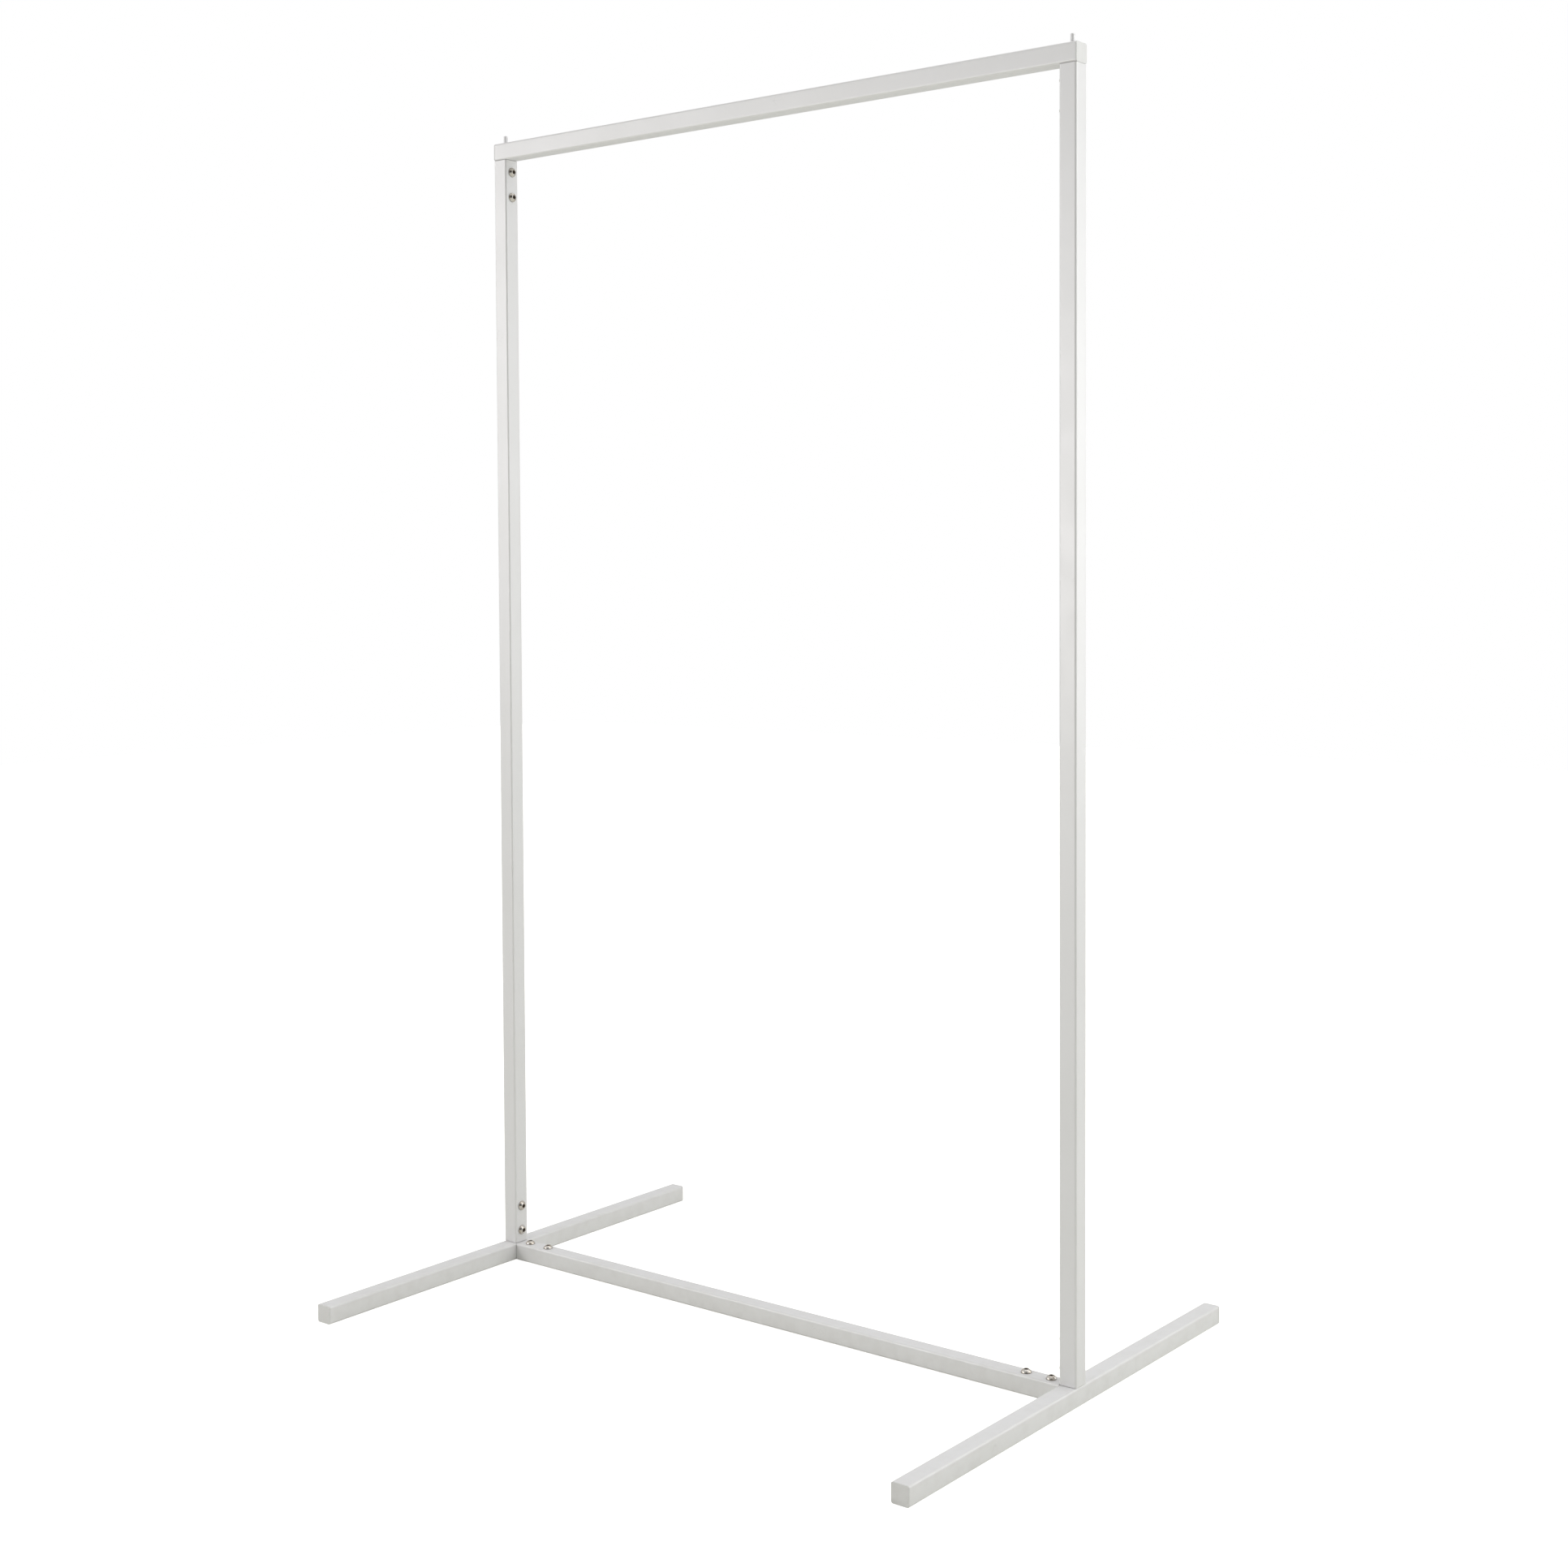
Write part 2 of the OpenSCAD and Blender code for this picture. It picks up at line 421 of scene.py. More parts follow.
    def smooth(self) -> "Workpiece":
        """Drops slivers, then shades rounded parts smooth, with flat faces flat and crisp edges crisp."""
        self.edit()
        bpy.ops.mesh.select_mode(type=Part.VERTEX.value)
        bpy.ops.mesh.select_all(action="SELECT")
        bpy.ops.mesh.dissolve_degenerate(threshold=2 * WELD)
        self.focus()
        bpy.ops.object.shade_smooth_by_angle(angle=CRISP)
        return self.apply("WEIGHTED_NORMAL", keep_sharp=True)


# ---- Shader groups ----


class Graph:
    """Wires the nodes of one material or shader group."""

    def __init__(self, tree: bpy.types.NodeTree) -> None:
        """Starts on an empty tree."""
        self.tree = tree
        tree.nodes.clear()

    def feed(self, socket: bpy.types.NodeSocket, value: object) -> None:
        """Links a socket to another, or sets its value."""
        if isinstance(value, bpy.types.NodeSocket):
            self.tree.links.new(value, socket)
        else:
            socket.default_value = value

    def node(self, kind: str, inputs: dict[str | int, object] | None = None,
             **settings: object) -> bpy.types.Node:
        """Adds a node.

        Args:
            kind: Blender's name for the kind of node.
            inputs: What feeds each input, by its name or number.
            settings: Settings of the node itself.

        Returns:
            The new node.
        """
        node = self.tree.nodes.new(kind)
        for key, value in settings.items():
            setattr(node, key, value)
        for key, value in (inputs or {}).items():
            self.feed(node.inputs[key], value)
        return node

    def position(self) -> bpy.types.NodeSocket:
        """Place of the shaded point in the object's own coordinates."""
        return self.node("ShaderNodeTexCoord").outputs["Object"]

    def noise(self, scale: object, detail: float = 2.0, vector: object = None) -> bpy.types.NodeSocket:
        """Adds a noise pattern.

        Args:
            scale: How many of its patches go in a metre.
            detail: Number of finer layers.
            vector: Coordinates to read, which are the object's own if none are given.

        Returns:
            The noise, from 0 to 1.
        """
        inputs = {"Vector": vector or self.position(), "Scale": scale, "Detail": detail}
        return self.node("ShaderNodeTexNoise", inputs).outputs[0]

    def math(self, operation: str, first: object, second: object = 0.0) -> bpy.types.NodeSocket:
        """Adds one step of arithmetic and returns its result."""
        return self.node("ShaderNodeMath", {0: first, 1: second}, operation=operation).outputs[0]

    def ramp(self, value: object, start: object, end: object, low: float = 0.0,
             high: float = 1.0) -> bpy.types.NodeSocket:
        """Turns a range of values smoothly into another.

        Args:
            value: What is read.
            start: Where the range begins.
            end: Where it ends.
            low: Result at its beginning.
            high: Result at its end.

        Returns:
            The result, which never leaves the new range.
        """
        node = self.node("ShaderNodeMapRange", interpolation_type="SMOOTHSTEP")
        for key, item in zip(("Value", "From Min", "From Max", "To Min", "To Max"),
                             (value, start, end, low, high)):
            self.feed(node.inputs[key], item)
        return node.outputs["Result"]

    def tint(self, share: object, first: object, second: object) -> bpy.types.NodeSocket:
        """Blends two colours.

        Args:
            share: Share of the second colour.
            first: First colour.
            second: Second colour.

        Returns:
            The blend.
        """
        first, second = (item if isinstance(item, bpy.types.NodeSocket) else (*item, 1.0)
                         for item in (first, second))
        # The mix node has sockets for each type of data: its colours are inputs 6 and 7 and output 2
        return self.node("ShaderNodeMix", {0: share, 6: first, 7: second}, data_type="RGBA").outputs[2]

    def bump(self, height: object, depth: float) -> bpy.types.NodeSocket:
        """Raises a bumpy skin on the surface.

        Args:
            height: Height of the skin, from 0 to 1.
            depth: Real height between 0 and 1.

        Returns:
            The bumped normal.
        """
        return self.node("ShaderNodeBump", {"Height": height, "Strength": 1.0, "Distance": depth}).outputs[0]


class Effect:
    """A shader group that several finishes share."""

    name: ClassVar[str]
    inputs: ClassVar[dict[str, float]]
    outputs: ClassVar[tuple[str, ...]]

    def wire(self, graph: Graph, given: dict[str, bpy.types.NodeSocket]) -> dict[str, bpy.types.NodeSocket]:
        """Wires the group.

        Args:
            graph: The group's own tree.
            given: The group's inputs, by name.

        Returns:
            What goes to each output, by name.
        """
        raise NotImplementedError

    def tree(self) -> bpy.types.NodeTree:
        """Returns the group, and builds it the first time."""
        made = bpy.data.node_groups.get(self.name)
        if made:
            return made
        made = bpy.data.node_groups.new(self.name, "ShaderNodeTree")
        graph = Graph(made)
        for name, value in self.inputs.items():
            socket = made.interface.new_socket(name, in_out="INPUT", socket_type="NodeSocketFloat")
            socket.default_value = value
        for name in self.outputs:
            made.interface.new_socket(name, in_out="OUTPUT", socket_type="NodeSocketFloat")
        start = graph.node("NodeGroupInput")
        results = self.wire(graph, {name: start.outputs[name] for name in self.inputs})
        graph.node("NodeGroupOutput", results)
        return made

    def put(self, graph: Graph, **values: float) -> dict[str, bpy.types.NodeSocket]:
        """Places the group in a material.

        Args:
            graph: The material's tree.
            values: Values of its inputs, with _ for each space in their names.

        Returns:
            Its outputs, by name.
        """
        node = graph.node("ShaderNodeGroup", node_tree=self.tree())
        for key, value in values.items():
            node.inputs[key.replace("_", " ")].default_value = value
        return {name: node.outputs[name] for name in self.outputs}


class CoatSkin(Effect):
    """Orange peel of a sprayed or moulded skin, with slow drifts of its tone and gloss."""

    name = "CoatSkin"
    inputs = {"Peel Scale": 900.0, "Drift Scale": 6.0}
    outputs = ("Height", "Tone", "Gloss")
    # Scale and height of the long waves against the peel, and scale of the gloss against the tone
    wave_scale = 0.16
    wave_height = 1.6
    gloss_scale = 2.7
    # Values of a noise between which a drift runs from 0 to 1
    drift_range = (0.3, 0.7)

    def wire(self, graph: Graph, given: dict[str, bpy.types.NodeSocket]) -> dict[str, bpy.types.NodeSocket]:
        """Wires fine peel over longer waves, and two slow drifts."""
        peel = graph.noise(given["Peel Scale"], 1.0)
        wave = graph.noise(graph.math("MULTIPLY", given["Peel Scale"], self.wave_scale), 0.0)
        tone = graph.noise(given["Drift Scale"], 2.0)
        gloss = graph.noise(graph.math("MULTIPLY", given["Drift Scale"], self.gloss_scale), 3.0)
        return {
            "Height": graph.math("ADD", peel, graph.math("MULTIPLY", wave, self.wave_height)),
            "Tone": graph.ramp(tone, *self.drift_range),
            "Gloss": graph.ramp(gloss, *self.drift_range)}


class CornerBand(Effect):
    """Mask that is 1 along the four long corners of a square bar."""

    name = "CornerBand"
    uv_map = "Section"
    inputs = {"Start": 0.8, "End": 0.97}
    outputs = ("Mask",)

    def wire(self, graph: Graph, given: dict[str, bpy.types.NodeSocket]) -> dict[str, bpy.types.NodeSocket]:
        """Wires the smaller of the two distances from the bar's axis."""
        place = graph.node("ShaderNodeUVMap", uv_map=self.uv_map).outputs[0]
        parts = graph.node("ShaderNodeSeparateXYZ", {0: place}).outputs
        nearer = graph.math("MINIMUM", graph.math("ABSOLUTE", parts[0]), graph.math("ABSOLUTE", parts[1]))
        return {"Mask": graph.ramp(nearer, given["Start"], given["End"])}


class Scuffs(Effect):
    """Mask of sparse hairline rubs."""

    name = "Scuffs"
    inputs = {"Scale": 90.0, "Width": 0.012, "Spread": 0.6}
    outputs = ("Mask",)
    # Scale of the patches against the lines, and how gently a patch ends
    patch_scale = 0.21
    patch_edge = 0.08

    def wire(self, graph: Graph, given: dict[str, bpy.types.NodeSocket]) -> dict[str, bpy.types.NodeSocket]:
        """Wires thin contour lines of a noise, left only in a few patches."""
        off = graph.math("ABSOLUTE", graph.math("SUBTRACT", graph.noise(given["Scale"], 1.0), 0.5))
        line = graph.math("SUBTRACT", 1.0, graph.ramp(off, 0.0, given["Width"]))
        clumps = graph.noise(graph.math("MULTIPLY", given["Scale"], self.patch_scale), 2.0)
        patch = graph.ramp(clumps, given["Spread"], graph.math("ADD", given["Spread"], self.patch_edge))
        return {"Mask": graph.math("MULTIPLY", line, patch)}


class FloorDust(Effect):
    """Mask that is strongest at the floor and fades out with height, broken into soft clumps."""

    name = "FloorDust"
    inputs = {"Reach": 0.08, "Clump Scale": 55.0}
    outputs = ("Mask",)
    # Values of a noise between which a clump thickens
    clump_range = (0.35, 0.7)

    def wire(self, graph: Graph, given: dict[str, bpy.types.NodeSocket]) -> dict[str, bpy.types.NodeSocket]:
        """Wires a fade with height, broken into soft clumps."""
        height = graph.node("ShaderNodeSeparateXYZ", {0: graph.position()}).outputs[2]
        fade = graph.math("SUBTRACT", 1.0, graph.ramp(height, 0.0, given["Reach"]))
        clumps = graph.ramp(graph.noise(given["Clump Scale"], 3.0), *self.clump_range)
        return {"Mask": graph.math("MULTIPLY", fade, clumps)}


# ---- Finishes ----


@dataclass(frozen=True)
class Finish:
    """What all finishes have: the name of their slot in the record."""

    slot: str

    def wire(self, graph: Graph) -> bpy.types.Node:
        """Wires the finish and returns its Principled BSDF."""
        raise NotImplementedError

    def material(self) -> bpy.types.Material:
        """Returns the material of this finish, and builds it the first time."""
        name = self.slot + "_finish"
        made = bpy.data.materials.get(name)
        if made:
            return made
        made = bpy.data.materials.new(name)
        made.use_nodes = True
        graph = Graph(made.node_tree)
        shader = self.wire(graph)
        graph.node("ShaderNodeOutputMaterial", {"Surface": shader.outputs[0]})
        return made


@dataclass(frozen=True)
class WhiteCoat(Finish):
    """White powder coat on steel tube, with a darker, brownish colour painted along its rounded corners as
    painted shade.
    """

    light: Colour = (0.846, 0.842, 0.842)
    shade: Colour = (0.832, 0.828, 0.824)
    # Darker, brownish colour painted along the rounded corners as painted shade, and its share there
    corner: Colour = (0.780, 0.752, 0.706)
    corner_share: float = 0.22
    # Share of the surface that mirrors as metal does, which gives the coat its broad pearly shine
    pearl: float = 0.3
    # Darker colour towards the floor, in soft clumps, and its share there
    dust: Colour = (0.520, 0.490, 0.440)
    dust_share: float = 0.10
    rub: Colour = (0.470, 0.460, 0.440)
    rub_share: float = 0.14
    rub_spread: float = 0.62
    smoothest: float = 0.435
    roughest: float = 0.465
    # What the darkening near the floor and rubs add to the roughness
    dust_rough: float = 0.12
    rub_rough: float = 0.10
    peel_depth: float = 0.012 * MM

    def wire(self, graph: Graph) -> bpy.types.Node:
        """Wires the coat: tone, painted shade along the corners, darkening near the floor and rubs over an
        orange peel.
        """
        skin = CoatSkin().put(graph, Peel_Scale=900.0, Drift_Scale=6.0)
        corner = CornerBand().put(graph, Start=0.80, End=0.97)["Mask"]
        rubs = Scuffs().put(graph, Scale=70.0, Width=0.01, Spread=self.rub_spread)["Mask"]
        dust = FloorDust().put(graph, Reach=0.07, Clump_Scale=55.0)["Mask"]
        colour = graph.tint(skin["Tone"], self.shade, self.light)
        # Painted shade along the rounded corners
        colour = graph.tint(graph.math("MULTIPLY", corner, self.corner_share), colour, self.corner)
        # Darker towards the floor
        colour = graph.tint(graph.math("MULTIPLY", dust, self.dust_share), colour, self.dust)
        colour = graph.tint(graph.math("MULTIPLY", rubs, self.rub_share), colour, self.rub)
        rough = graph.ramp(skin["Gloss"], 0.0, 1.0, self.smoothest, self.roughest)
        rough = graph.math("ADD", rough, graph.math("MULTIPLY", dust, self.dust_rough))
        rough = graph.math("ADD", rough, graph.math("MULTIPLY", rubs, self.rub_rough))
        return graph.node("ShaderNodeBsdfPrincipled", {
            "Base Color": colour, "Metallic": self.pearl, "Roughness": rough,
            "Normal": graph.bump(skin["Height"], self.peel_depth)})


@dataclass(frozen=True)
class CapPlastic(Finish):
    """Moulded white plastic with a fine spark-eroded grain."""

    light: Colour = (0.790, 0.788, 0.775)
    shade: Colour = (0.765, 0.762, 0.748)
    # Darker, brownish colour painted along the four rounded corners as painted shade, and its share there
    edge: Colour = (0.700, 0.680, 0.640)
    edge_share: float = 0.40
    # Darker colour towards the floor, in soft clumps, and its share there
    dust: Colour = (0.520, 0.490, 0.440)
    dust_share: float = 0.14
    smoothest: float = 0.48
    rough_drift: float = 0.06
    grain_depth: float = 0.010 * MM

    def wire(self, graph: Graph) -> bpy.types.Node:
        """Wires the plastic: a fine grain, painted shade along its four rounded corners, and darkening near
        the floor.
        """
        skin = CoatSkin().put(graph, Peel_Scale=2600.0, Drift_Scale=30.0)
        edge = CornerBand().put(graph, Start=0.86, End=1.0)["Mask"]
        dust = FloorDust().put(graph, Reach=0.05, Clump_Scale=70.0)["Mask"]
        colour = graph.tint(skin["Tone"], self.shade, self.light)
        # Painted shade along the rounded corners
        colour = graph.tint(graph.math("MULTIPLY", edge, self.edge_share), colour, self.edge)
        # Darker towards the floor
        colour = graph.tint(graph.math("MULTIPLY", dust, self.dust_share), colour, self.dust)
        rough = graph.math("ADD", self.smoothest, graph.math("MULTIPLY", skin["Gloss"], self.rough_drift))
        return graph.node("ShaderNodeBsdfPrincipled", {
            "Base Color": colour, "Roughness": rough,
            "Normal": graph.bump(skin["Height"], self.grain_depth)})


@dataclass(frozen=True)
class Plating(Finish):
    """Bright plated steel, with painted shade in the hex socket and round the rim of the head."""

    bright: Colour = (0.70, 0.68, 0.65)
    # Brownish colour painted in drifting patches as a painted reflection of the surroundings, which the
    # scratches also take, and the share of the drift
    warm: Colour = (0.56, 0.46, 0.34)
    warm_share: float = 0.55
    rub_share: float = 0.3
    rub_rough: float = 0.15
    # Colour of the painted shade in the hex socket and round the rim of the head, and how metallic and rough
    # the plating is there
    recess: Colour = (0.10, 0.072, 0.052)
    recess_metal: float = 0.15
    recess_rough: float = 0.5
    smoothest: float = 0.15
    roughest: float = 0.27
    grain_depth: float = 0.004 * MM

    def wire(self, graph: Graph) -> bpy.types.Node:
        """Wires the plating: a brownish tint that drifts at random as a painted reflection, fine scratches,
        and painted shade in the socket and round the rim, where it is also rougher and less metallic.
        """
        skin = CoatSkin().put(graph, Peel_Scale=3800.0, Drift_Scale=210.0)
        rubs = Scuffs().put(graph, Scale=420.0, Width=0.03, Spread=0.45)["Mask"]
        # Painted shade from the vertex attribute: dark in the socket and round the rim of the head
        recess = graph.node("ShaderNodeAttribute", attribute_name=Fastener.recess).outputs["Fac"]
        # Painted reflection: brownish patches that drift at random
        colour = graph.tint(graph.math("MULTIPLY", skin["Tone"], self.warm_share), self.bright, self.warm)
        colour = graph.tint(graph.math("MULTIPLY", rubs, self.rub_share), colour, self.warm)
        colour = graph.tint(recess, colour, self.recess)
        rough = graph.ramp(skin["Gloss"], 0.0, 1.0, self.smoothest, self.roughest)
        rough = graph.math("ADD", rough, graph.math("MULTIPLY", rubs, self.rub_rough))
        rough = graph.math("ADD", rough, graph.math("MULTIPLY", recess, self.recess_rough))
        metal = graph.ramp(recess, 0.0, 1.0, 1.0, self.recess_metal)
        return graph.node("ShaderNodeBsdfPrincipled", {
            "Base Color": colour, "Metallic": metal, "Roughness": rough,
            "Normal": graph.bump(skin["Height"], self.grain_depth)})


@dataclass(frozen=True)
class BareSteel(Finish):
    """Dull machined steel with brown and blue tints from welding."""

    steel: Colour = (0.46, 0.445, 0.43)
    brown: Colour = (0.30, 0.21, 0.13)
    brown_share: float = 0.5
    blue: Colour = (0.20, 0.24, 0.33)
    blue_share: float = 0.45
    # Where on the second drift the blue begins
    blue_start: float = 0.6
    rub_share: float = 0.4
    smoothest: float = 0.38
    roughest: float = 0.52
    grain_depth: float = 0.02 * MM

    def wire(self, graph: Graph) -> bpy.types.Node:
        """Wires the steel: heat tints in bands, and a coarse grain."""
        skin = CoatSkin().put(graph, Peel_Scale=2100.0, Drift_Scale=150.0)
        rubs = Scuffs().put(graph, Scale=300.0, Width=0.02, Spread=0.4)["Mask"]
        colour = graph.tint(graph.math("MULTIPLY", skin["Tone"], self.brown_share), self.steel, self.brown)
        blued = graph.ramp(skin["Gloss"], self.blue_start, 1.0, 0.0, self.blue_share)
        colour = graph.tint(blued, colour, self.blue)
        colour = graph.tint(graph.math("MULTIPLY", rubs, self.rub_share), colour, self.steel)
        rough = graph.ramp(skin["Gloss"], 0.0, 1.0, self.smoothest, self.roughest)
        return graph.node("ShaderNodeBsdfPrincipled", {
            "Base Color": colour, "Metallic": 1.0, "Roughness": rough,
            "Normal": graph.bump(skin["Height"], self.grain_depth)})


FRAME_COAT = WhiteCoat("frame_coat")
TENON_COAT = WhiteCoat("tenon_coat", rub_share=0.55, rub_spread=0.48, smoothest=0.46, roughest=0.56)
END_CAPS = CapPlastic("end_caps")
SCREWS = Plating("screws")
WELD_NUTS = BareSteel("weld_nuts")


# ---- Pieces and their places ----


def end_of(node: str, way: Way) -> Vector:
    """Middle of the side of a node's box that faces one way.

    Args:
        node: Name of the node.
        way: Direction that the side faces.

    Returns:
        The point, in metres.
    """
    low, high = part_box(node)
    point = (low + high) / 2
    point[way.axis] = (high if sum(way.value) > 0 else low)[way.axis]
    return point


def stand(point: Vector, way: Way) -> Matrix:
    """Matrix that stands a piece drawn along +Z on a point, in one direction."""
    return Matrix.Translation(point) @ way.turn()


def hand_over(piece: Workpiece, node: str, finish: Finish) -> None:
    """Puts a finished piece in place of its node.

    Args:
        piece: The piece, in its place.
        node: Name of the node that it stands for.
        finish: Its finish.
    """
    Workpiece.clear_bench()
    piece.obj.data.materials.clear()
    piece.obj.data.materials.append(finish.material())
    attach(piece.obj, "root")
    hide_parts(node)
    log.info("%s: %d faces, %s", piece.obj.name, len(piece.obj.data.polygons), finish.slot)


def finished(node: str) -> str:
    """Name of the piece that stands for a node."""
    return node + "_finished"


@dataclass
class SquareBar:
    """Rounded square bar with a bore, and the tools that cut and drill it."""

    width: float
    wall: float
    corner: float
    bore_corner: float = 0.0
    # Rounding that the paint leaves on a cut end
    soft_edge: float = 0.4 * MM
    soft_steps: int = 3
    corner_steps: int = 8

    def solid(self, name: str, width: float, corner: float, low: float, high: float) -> Workpiece:
        """Makes an upright bar with rounded corners.

        Args:
            name: Name of the new piece.
            width: Its width.
            corner: Radius of its corners, or 0 if they are sharp.
            low: Height of its base.
            high: Height of its top.

        Returns:
            The bar.
        """
        half = width / 2
        bar = Workpiece.block(name, (-half, -half, low), (half, half, high))
        if corner:
            bar.pick(Part.EDGE, lambda middle, run: abs(run.z) > ALONG)
            bar.bevel(corner, self.corner_steps).clear_bench()
        return bar

    def saw(self, name: str, length: float, lead: float = 0.0) -> Workpiece:
        """Cuts a length of the bar, which stands on the origin.

        Args:
            name: Name of the new piece.
            length: Its length.
            lead: Chamfer round its upper end, if it has one.

        Returns:
            The length of bar, with its ends softened.
        """
        bar = self.solid(name, self.width, self.corner, 0, length)
        inside = self.width - 2 * self.wall
        if lead:
            bar.pick(Part.EDGE, lambda middle, run: middle.z > length - WELD).bevel(lead, 1).clear_bench()
        bar.combine(Cut.AWAY, self.solid("bore", inside, self.bore_corner, -PAST, length + PAST))
        bar.pick(Part.EDGE, lambda middle, run: abs(run.z) < ACROSS and not WELD < middle.z < length - WELD)
        bar.bevel(self.soft_edge, self.soft_steps).clear_bench()
        return bar

    def drill(self, bar: Workpiece, radius: float, seat: Matrix) -> None:
        """Drills through the near wall of a placed bar.

        Args:
            bar: The bar to drill.
            radius: Radius of the hole.
            seat: Where the hole starts on the outer face, with +Z out of it.
        """
        bit = Workpiece.prism("drill", ROUND, radius, -self.width / 2, PAST)
        bar.combine(Cut.AWAY, bit.place(seat))


@dataclass
class Fastener:
    """Button-head screw and the square weld nut it turns in, drawn with the seat of the head at zero."""

    # Attribute that holds how much painted shade a vertex gets: full in the hex socket, less round the rim
    # of the head
    recess: ClassVar[str] = "recess"
    shank: float = 8 * MM
    length: float = 16 * MM
    head: float = 14 * MM
    head_height: float = 4.4 * MM
    rim: float = 0.6 * MM
    flat: float = 7.4 * MM
    # Width of the head's broken edges
    edge: float = 0.2 * MM
    socket: float = 5 * MM
    socket_depth: float = 2.6 * MM
    # Point that the drill left under the socket, and its narrow end against the wide one
    point: float = 0.8 * MM
    point_share: float = 0.15
    # How far the countersunk mouth reaches past the socket's flats, and its depth
    lip: float = 0.65 * MM
    lip_depth: float = 0.6 * MM
    pitch: float = 1.25 * MM
    thread_depth: float = 0.65 * MM
    thread_start: float = 1 * MM
    play: float = 0.05 * MM
    # How much smaller the plain neck is than the thread, and how far down it goes
    neck_slack: float = 0.1 * MM
    neck_length: float = 1.5 * MM
    # Cone at the tip: how much narrower it ends, and its length
    lead: float = 1 * MM
    lead_length: float = 1.2 * MM
    # Painted shade low and high on the rim of the head, which stands in for the dark outline that the rim
    # reflects
    rim_dark: tuple[float, float] = (0.75, 0.45)
    hole: float = 8.5 * MM
    nut_width: float = 14 * MM
    nut_height: float = 6.5 * MM
    nut_edge: float = 0.8 * MM
    nut_corner: float = 1.1 * MM
    nut_seat: float = 4.5 * MM
    # How far the nut's countersinks reach past the thread, and their depth
    sink_lip: float = 0.4 * MM
    sink: float = 0.9 * MM

    @property
    def neck(self) -> float:
        """Radius of the plain neck under the head."""
        return self.shank / 2 - self.play - self.neck_slack

    @property
    def mouth(self) -> float:
        """Radius of the socket's countersunk mouth."""
        return self.socket / 2 + self.lip

    def rod(self, name: str, slack: float, low: float, high: float) -> Workpiece:
        """Makes a rod with this fastener's thread, larger all round by a slack."""
        crest = self.shank / 2 - self.play + slack
        return Workpiece.thread(name, crest, crest - self.thread_depth, self.pitch, low, high)

    def dome(self, rings: int = 9) -> list[tuple[float, float]]:
        """Points down the dome of the head, from its flat to its rim."""
        outer, inner = self.head / 2, self.flat / 2
        rise = self.head_height - self.rim
        drop = (outer ** 2 - inner ** 2 + self.rim ** 2 - self.head_height ** 2) / (2 * rise)
        radius = math.hypot(outer, self.rim + drop)
        rings_at = [inner + (outer - inner) * ring / rings for ring in range(rings + 1)]
        return [(at, math.sqrt(radius ** 2 - at ** 2) - drop) for at in rings_at]

    def turned_head(self) -> Workpiece:
        """Turns the head with the neck under it."""
        edge, neck, foot = self.edge, self.neck, -self.neck_length
        profile = [(0, self.head_height), (self.flat / 2 - edge, self.head_height), *self.dome(),
                   (self.head / 2, edge), (self.head / 2 - edge, 0), (neck + 2 * edge, 0),
                   (neck, -2 * edge), (neck, foot), (0, foot)]
        return Workpiece.lathe("screw_pattern", profile, FINE_ROUND)

    def threaded_shank(self) -> Workpiece:
        """Threads the shank and cones its tip."""
        tip, wide = -self.length, self.neck + self.edge
        shank = self.rod("shank", 0.0, tip, -self.thread_start)
        cone = [(0, tip), (self.neck - self.lead, tip), (wide, tip + self.lead_length), (wide, 0), (0, 0)]
        return shank.combine(Cut.SHARED, Workpiece.lathe("lead", cone))

    def cut_socket(self, screw: Workpiece) -> None:
        """Cuts the hexagon socket with its drill point, and countersinks its mouth."""
        top, edge = self.head_height, self.edge
        corner = self.socket / 2 / math.cos(math.pi / 6)
        key = Workpiece.prism("key", 6, corner, top - self.socket_depth, top + PAST)
        key.pick(Part.FACE, lambda middle, facing: facing.z < -ALONG)
        key.taper((0, 0, -self.point), self.point_share)
        screw.combine(Cut.AWAY, key.close_up())
        floor = top - self.lip_depth
        mouth = [(0, top + edge), (self.mouth + edge, top + edge), (self.mouth - self.lip_depth, floor),
                 (0, floor)]
        screw.combine(Cut.AWAY, Workpiece.lathe("mouth", mouth))

    def dark(self, at: Vector) -> float:
        """How much painted shade a point gets: full in the socket, and less round the rim of the head, where
        it stands in for a dark reflection.
        """
        if at.xy.length < self.mouth - self.edge / 2 and 0 < at.z < self.head_height - self.edge:
            return 1.0
        if 0 <= at.z < self.rim + WELD:
            return self.rim_dark[0] if at.z < self.rim / 2 else self.rim_dark[1]
        return 0.0

    def screw(self) -> Workpiece:
        """Models the screw: turned head, threaded shank, and hexagon socket."""
        screw = self.turned_head()
        screw.combine(Cut.JOIN, self.threaded_shank())
        self.cut_socket(screw)
        # Marks the painted shade in the socket and round the rim of the head
        return screw.mark(self.recess, self.dark).smooth()

    def nut(self) -> Workpiece:
        """Models the nut: a square block with a countersunk, threaded hole."""
        half, near = self.nut_width / 2, -self.nut_seat
        far = near - self.nut_height
        nut = Workpiece.block("nut_pattern", (-half, -half, far), (half, half, near))
        nut.pick(Part.EDGE, lambda middle, run: abs(run.z) > ALONG).bevel(self.nut_corner, 4)
        nut.pick(Part.EDGE, lambda middle, run: middle.z < far + WELD).bevel(self.nut_edge, 2).clear_bench()
        nut.combine(Cut.AWAY, self.rod("tap", 2 * self.play, far - PAST, near + PAST))
        wide = self.shank / 2 + self.sink_lip
        for face, out in ((near, 1), (far, -1)):
            top, floor = face + out * PAST, face - out * self.sink
            cone = [(0, top), (wide + PAST, top), (wide - self.sink, floor), (0, floor)]
            nut.combine(Cut.AWAY, Workpiece.lathe("countersink", cone))
        return nut.smooth()

